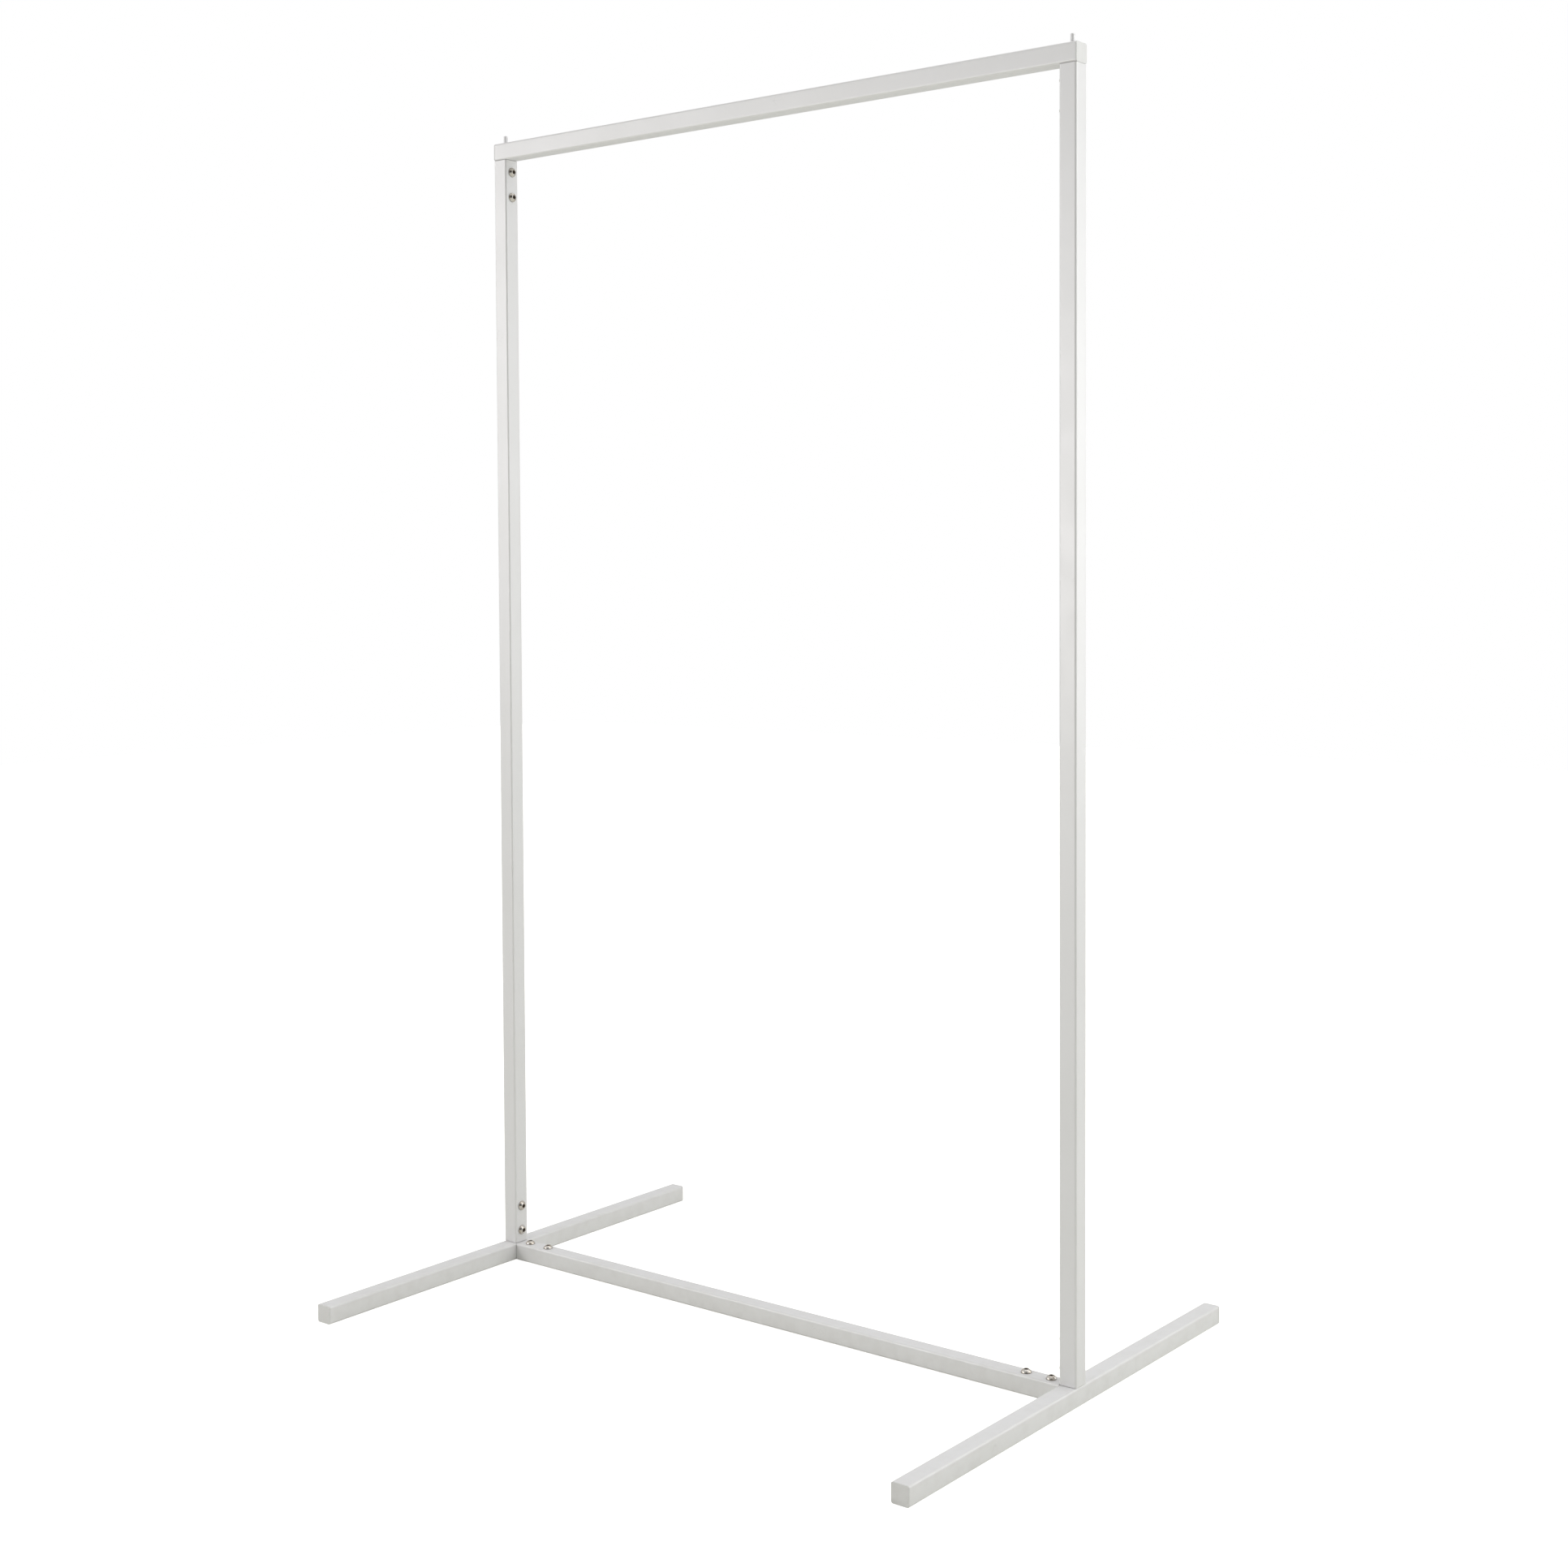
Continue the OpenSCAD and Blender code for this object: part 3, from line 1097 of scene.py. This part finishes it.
    def seat(self, node: str, way: Way, quarter: int = 0) -> Matrix:
        """Where the head of a screw sits.

        Args:
            node: Name of the screw's node.
            way: Direction in which its head points.
            quarter: How many quarter turns the screw and its nut have made.

        Returns:
            Matrix from the drawn fastener to its place.
        """
        face = end_of(node, way) - way.vector * self.head_height
        return stand(face, way) @ Matrix.Rotation(quarter * math.pi / 2, 4, "Z")


@dataclass
class EndCap:
    """Ribbed plastic plug that closes a tube, drawn with the tube's end at zero."""

    width: float = 25 * MM
    corner: float = 3 * MM
    flange: float = 1.5 * MM
    rounding: float = 0.7 * MM
    depth: float = 12 * MM
    ribs: int = 3
    rib: float = 1 * MM
    rib_corner: float = 1 * MM
    rib_lead: float = 0.3 * MM
    ribs_width: float = 20.7 * MM
    core: float = 18.7 * MM
    core_corner: float = 0.4 * MM
    shell: float = 1.5 * MM

    def model(self) -> Workpiece:
        """Models the cap: a rounded flange over a hollow, ribbed plug."""
        stock = SquareBar(self.width, self.shell, self.corner)
        cap = stock.solid("cap_pattern", self.width, self.corner, 0, self.flange)
        cap.pick(Part.EDGE, lambda middle, run: middle.z > self.flange - WELD)
        cap.bevel(self.rounding, 4).clear_bench()
        cap.combine(Cut.JOIN, stock.solid("core", self.core, self.core_corner, -self.depth, self.flange / 2))
        spacing = self.depth / (self.ribs + 0.5)
        for number in range(1, self.ribs + 1):
            low = -number * spacing
            rib = stock.solid("rib", self.ribs_width, self.rib_corner, low, low + self.rib)
            rib.pick(Part.EDGE, lambda middle, run: middle.z < low + WELD)
            rib.bevel(self.rib_lead, 1).clear_bench()
            cap.combine(Cut.JOIN, rib)
        hollow = self.core - 2 * self.shell
        cap.combine(Cut.AWAY, stock.solid("hollow", hollow, self.core_corner, -self.depth - PAST, 0))
        return cap.mark_section(Vector(), Way.UP, self.width).smooth()

    def fit(self, pattern: Workpiece, node: str, way: Way) -> None:
        """Pushes a copy of the cap into the end of a tube.

        Args:
            pattern: The modelled cap.
            node: Name of the cap's node.
            way: Direction that the end faces.
        """
        face = end_of(node, way) - way.vector * self.flange
        hand_over(pattern.copy_to(finished(node), stand(face, way)), node, END_CAPS)


@dataclass
class Tenon(SquareBar):
    """Short length of smaller tube that the tubes plug onto."""

    width: float = 20 * MM
    wall: float = 2 * MM
    corner: float = 1.5 * MM
    soft_edge: float = 0.2 * MM
    corner_steps: int = 5
    lead: float = 1.2 * MM

    def build(self, node: str, way: Way, drilled: Sequence[Matrix], hole: float) -> None:
        """Models one tenon and drills it for its screws.

        Args:
            node: Name of the tenon's node.
            way: Direction in which it stands out.
            drilled: Seats of its two screws.
            hole: Diameter of its holes.
        """
        foot = end_of(node, way.opposite)
        length = (end_of(node, way) - foot).length
        spot = stand(foot, way)
        tenon = self.saw(finished(node), length, self.lead)
        for seat in drilled:
            self.drill(tenon, hole / 2, spot.inverted() @ seat)
        tenon.place(spot).mark_section(foot, way, self.width).smooth()
        hand_over(tenon, node, TENON_COAT)


@dataclass
class Tube(SquareBar):
    """A length of the frame's own tube."""

    width: float = 25 * MM
    wall: float = 2 * MM
    corner: float = 3 * MM
    bore_corner: float = 1 * MM

    def build(self, node: str, way: Way, drilled: Sequence[tuple[Matrix, float]] = ()) -> None:
        """Models one tube and drills it.

        Args:
            node: Name of the tube's node.
            way: Direction in which it runs.
            drilled: Seat and diameter of each of its holes.
        """
        start = end_of(node, way.opposite)
        length = (end_of(node, way) - start).length
        tube = self.saw(finished(node), length).place(stand(start, way))
        for seat, hole in drilled:
            self.drill(tube, hole / 2, seat)
        tube.mark_section(start, way, self.width).smooth()
        hand_over(tube, node, FRAME_COAT)


# ---- Sub-assemblies ----


@dataclass
class Joints:
    """The twelve screws that hold the frame together, and their nuts."""

    fastener: Fastener = field(default_factory=Fastener)
    # Names of the two screws of each kind of joint, nearest to the frame's corner first
    pairs: ClassVar[dict[str, tuple[str, str]]] = {
        "base": ("lower", "upper"), "head": ("upper", "lower"), "bar": ("outer", "inner")}

    def way(self, side: Side, joint: str) -> Way:
        """Direction in which the heads of a joint's screws point."""
        if joint == "bar":
            return Way.UP
        return Way.RIGHT if side is Side.LEFT else Way.LEFT

    def seats(self, side: Side, joint: str) -> list[Matrix]:
        """Seats of a joint's two screws."""
        way = self.way(side, joint)
        return [self.fastener.seat(f"{side.word}_{joint}_{place}_screw", way, turn + side.value)
                for turn, place in enumerate(self.pairs[joint])]

    def build(self) -> None:
        """Models one screw and one nut, and puts copies of them in every joint."""
        screw, nut = self.fastener.screw(), self.fastener.nut()
        for side in Side:
            for joint, places in self.pairs.items():
                for place, seat in zip(places, self.seats(side, joint)):
                    node = f"{side.word}_{joint}_{place}"
                    hand_over(screw.copy_to(finished(node + "_screw"), seat), node + "_screw", SCREWS)
                    hand_over(nut.copy_to(finished(node + "_nut"), seat), node + "_nut", WELD_NUTS)
        screw.scrap()
        nut.scrap()


@dataclass
class Foot:
    """A foot: tube with two end caps, and the tenons for its upright and for the crossbar."""

    side: Side
    tube: Tube = field(default_factory=Tube)
    tenon: Tenon = field(default_factory=Tenon)
    cap: EndCap = field(default_factory=EndCap)

    def build(self, joints: Joints, cap_pattern: Workpiece) -> None:
        """Models the foot.

        Args:
            joints: The joints, for the places of their holes.
            cap_pattern: The modelled end cap.
        """
        name, hole = self.side.word, joints.fastener.hole
        self.tube.build(f"{name}_foot", Way.BACK)
        inward = joints.way(self.side, "base")
        self.tenon.build(f"{name}_base_tenon", Way.UP, joints.seats(self.side, "base"), hole)
        self.tenon.build(f"{name}_bar_tenon", inward, joints.seats(self.side, "bar"), hole)
        self.cap.fit(cap_pattern, f"{name}_foot_front_cap", Way.FRONT)
        self.cap.fit(cap_pattern, f"{name}_foot_rear_cap", Way.BACK)


@dataclass
class Upright:
    """An upright, drilled at both ends."""

    side: Side
    tube: Tube = field(default_factory=Tube)

    def build(self, joints: Joints) -> None:
        """Models the upright, with holes at the joints' screws."""
        seats, hole = joints.seats(self.side, "base") + joints.seats(self.side, "head"), joints.fastener.hole
        self.tube.build(f"{self.side.word}_upright", Way.UP, [(seat, hole) for seat in seats])


@dataclass
class Crossbar:
    """The bar at the floor, drilled at both ends."""

    tube: Tube = field(default_factory=Tube)

    def build(self, joints: Joints) -> None:
        """Models the crossbar, with holes at the joints' screws."""
        seats, hole = joints.seats(Side.LEFT, "bar") + joints.seats(Side.RIGHT, "bar"), joints.fastener.hole
        self.tube.build("crossbar", Way.RIGHT, [(seat, hole) for seat in seats])


@dataclass
class TopBar:
    """The top bar: tube with two end caps, two pins above it and two tenons below."""

    tube: Tube = field(default_factory=Tube)
    tenon: Tenon = field(default_factory=Tenon)
    cap: EndCap = field(default_factory=EndCap)
    pin: float = 6 * MM
    pin_height: float = 12 * MM
    pin_rounding: float = 1 * MM
    arc_steps: int = 6
    stem: float = 5 * MM
    stem_play: float = 0.05 * MM
    fillet: float = 0.5 * MM

    def pin_pattern(self) -> Workpiece:
        """Models a pin: a spigot with a rounded tip, a painted fillet at its foot, and its stem."""
        radius, top, rounding = self.pin / 2, self.pin_height, self.pin_rounding
        arc = [step / self.arc_steps * math.pi / 2 for step in range(self.arc_steps + 1)]
        tip = [(radius - rounding + rounding * math.sin(a), top - rounding * (1 - math.cos(a))) for a in arc]
        toe = [(radius + self.fillet * (1 - math.cos(a)), self.fillet * (1 - math.sin(a))) for a in arc]
        stem = [(self.stem / 2, 0), (self.stem / 2, -self.tube.wall), (0, -self.tube.wall)]
        pattern = Workpiece.lathe("pin_pattern", [(0, top), *tip, *toe, *stem], FINE_ROUND)
        return pattern.mark_section(Vector(), Way.UP, self.pin).smooth()

    def build(self, joints: Joints, cap_pattern: Workpiece) -> None:
        """Models the top bar.

        Args:
            joints: The joints, for the places of their holes.
            cap_pattern: The modelled end cap.
        """
        hole = self.stem + 2 * self.stem_play
        pattern, stem_holes = self.pin_pattern(), []
        for side in Side:
            node = f"{side.word}_pin"
            spot = stand(end_of(node, Way.UP) - Way.UP.vector * self.pin_height, Way.UP)
            stem_holes.append((spot, hole))
            hand_over(pattern.copy_to(finished(node), spot), node, FRAME_COAT)
            seats = joints.seats(side, "head")
            self.tenon.build(f"{side.word}_head_tenon", Way.DOWN, seats, joints.fastener.hole)
        self.tube.build("top_bar", Way.RIGHT, stem_holes)
        self.cap.fit(cap_pattern, "top_bar_left_cap", Way.LEFT)
        self.cap.fit(cap_pattern, "top_bar_right_cap", Way.RIGHT)
        pattern.scrap()


# ---- The studio ----


@dataclass(frozen=True)
class Softbox:
    """An area light that no camera sees."""

    name: str
    place: Point
    aim: Point
    size: tuple[float, float]
    watts: float
    tint: Colour = (1.0, 1.0, 1.0)

    def hang(self) -> None:
        """Hangs the light and points it."""
        Workpiece.clear_bench()
        bpy.ops.object.light_add(type="AREA", location=self.place)
        lamp = bpy.context.object
        lamp.name = self.name
        lamp.rotation_euler = (Vector(self.aim) - lamp.location).to_track_quat("-Z", "Y").to_euler()
        lamp.data.shape = "RECTANGLE"
        lamp.data.size, lamp.data.size_y = self.size
        lamp.data.energy = self.watts
        lamp.data.color = self.tint
        lamp.visible_camera = False


@dataclass
class Studio:
    """Pale floor, white surroundings, soft lights and the camera."""

    lights: tuple[Softbox, ...] = (
        Softbox("front_left_softbox", place=(-1.45, -3.1, 1.25), aim=(0.3, 0.0, 1.1),
                size=(0.6, 0.7), watts=16.2, tint=(1.0, 0.98, 0.98)),
        Softbox("left_softbox", place=(-2.6, -2.2, 2.0), aim=(0.0, 0.0, 1.0),
                size=(1.2, 1.2), watts=7.0, tint=(1.0, 0.975, 0.98)),
        Softbox("near_left_softbox", place=(-2.2, -1.4, 1.4), aim=(0.0, 0.0, 1.0),
                size=(1.0, 1.2), watts=2.7),
        Softbox("overhead_softbox", place=(0.4, 0.4, 4.2), aim=(0.4, 0.0, 0.8),
                size=(3.0, 3.0), watts=13.5),
        Softbox("right_softbox", place=(2.1, 0.1, 1.45), aim=(0.3, 0.0, 1.2),
                size=(1.4, 2.0), watts=8.4, tint=(0.985, 1.0, 1.0)),
        Softbox("upper_right_softbox", place=(1.9, 0.5, 2.6), aim=(0.4, 0.0, 1.3),
                size=(1.4, 1.4), watts=8.5, tint=(0.985, 1.0, 1.0)),
        Softbox("right_rear_softbox", place=(2.0, 1.6, 1.2), aim=(0.0, 0.0, 1.0),
                size=(1.2, 1.2), watts=7.2),
    )
    # Strength of the surroundings low down and overhead, and the Z of the directions where it changes
    surround: tuple[float, float] = (0.610, 0.690)
    surround_rise: tuple[float, float] = (-0.1, 0.7)
    # Direction in which they are darker, the share left there, and the cosines where it fades
    dark_side: Point = (0.624, -0.781, 0.0)
    dark_share: float = 0.12
    dark_fade: tuple[float, float] = (0.35, 0.95)
    floor_half: float = 9.0
    floor_depth: float = 20 * MM
    floor_albedo: Colour = (0.810, 0.813, 0.760)
    # How much brighter the floor's mottling is, and how many patches go in a metre
    mottle: float = 1.02
    mottle_scale: float = 3.0
    # Glow that the floor has for the camera alone, which makes it read as white paper
    floor_seen: float = 0.76
    camera_place: Point = (1.8559, -2.3239, 1.0337)
    # Turns of the camera, in degrees
    camera_pan: float = 38.122
    camera_dip: float = 2.17
    camera_roll: float = -0.278
    # Focal length and width of the sensor, in millimetres, and shift of the lens in widths
    lens: float = 49.89
    sensor: float = 36.0
    shift: tuple[float, float] = (0.0014, -0.0802)

    def floor_material(self) -> bpy.types.Material:
        """Makes the pale, faintly mottled finish of the floor."""
        made = bpy.data.materials.new("floor_paper")
        made.use_nodes = True
        graph = Graph(made.node_tree)
        mottled = [part * self.mottle for part in self.floor_albedo]
        pale = graph.tint(graph.noise(self.mottle_scale, 3.0), self.floor_albedo, mottled)
        seen = graph.node("ShaderNodeLightPath").outputs["Is Camera Ray"]
        shader = graph.node("ShaderNodeBsdfPrincipled", {
            "Base Color": pale, "Roughness": 0.9, "Specular IOR Level": 0.0,
            "Emission Color": (1.0, 1.0, 1.0, 1.0),
            "Emission Strength": graph.math("MULTIPLY", seen, self.floor_seen)})
        graph.node("ShaderNodeOutputMaterial", {"Surface": shader.outputs[0]})
        return made

    def lay_floor(self) -> None:
        """Lays the floor with its upper face at zero."""
        half = self.floor_half
        floor = Workpiece.block("studio_floor", (-half, -half, -self.floor_depth), (half, half, 0))
        floor.obj.data.materials.append(self.floor_material())

    def light_world(self) -> None:
        """Surrounds the set with white for the camera, and with a softer grey for everything else."""
        world = bpy.data.worlds.new("white_surround")
        bpy.context.scene.world = world
        world.use_nodes = True
        graph = Graph(world.node_tree)
        looking = graph.node("ShaderNodeTexCoord").outputs["Generated"]
        height = graph.node("ShaderNodeSeparateXYZ", {0: looking}).outputs[2]
        facing = graph.node("ShaderNodeVectorMath", {0: looking, 1: self.dark_side}, operation="DOT_PRODUCT")
        lit = graph.ramp(height, *self.surround_rise, *self.surround)
        left = graph.ramp(facing.outputs["Value"], *self.dark_fade, 1.0, self.dark_share)
        strength = graph.math("MULTIPLY", lit, left)
        soft = graph.node("ShaderNodeBackground", {"Color": (1.0, 1.0, 1.0, 1.0), "Strength": strength})
        white = graph.node("ShaderNodeBackground", {"Color": (1.0, 1.0, 1.0, 1.0), "Strength": 1.0})
        seen = graph.node("ShaderNodeLightPath").outputs["Is Camera Ray"]
        both = graph.node("ShaderNodeMixShader", {0: seen, 1: soft.outputs[0], 2: white.outputs[0]})
        graph.node("ShaderNodeOutputWorld", {"Surface": both.outputs[0]})

    def set_camera(self) -> None:
        """Sets up the camera, panned, dipped and rolled in that order."""
        Workpiece.clear_bench()
        bpy.ops.object.camera_add(location=self.camera_place)
        camera = bpy.context.object
        camera.name = "studio_camera"
        turn = (Matrix.Rotation(math.radians(self.camera_pan), 4, "Z")
                @ Matrix.Rotation(math.radians(90 - self.camera_dip), 4, "X")
                @ Matrix.Rotation(math.radians(self.camera_roll), 4, "Z"))
        camera.rotation_euler = turn.to_euler()
        camera.data.lens, camera.data.sensor_width = self.lens, self.sensor
        camera.data.shift_x, camera.data.shift_y = self.shift
        bpy.context.scene.camera = camera

    def build(self) -> None:
        """Sets up the whole studio."""
        self.lay_floor()
        self.light_world()
        for light in self.lights:
            light.hang()
        self.set_camera()
        bpy.context.scene.view_settings.view_transform = "Standard"
        log.info("studio: %d lights", len(self.lights))


def main() -> None:
    """Builds every piece in order, then the studio."""
    logging.basicConfig(level=logging.INFO, format="%(name)s: %(message)s")
    joints = Joints()
    cap_pattern = EndCap().model()
    for side in Side:
        Foot(side).build(joints, cap_pattern)
        Upright(side).build(joints)
    Crossbar().build(joints)
    TopBar().build(joints, cap_pattern)
    cap_pattern.scrap()
    joints.build()
    Studio().build()


if __name__ == "__main__":
    main()
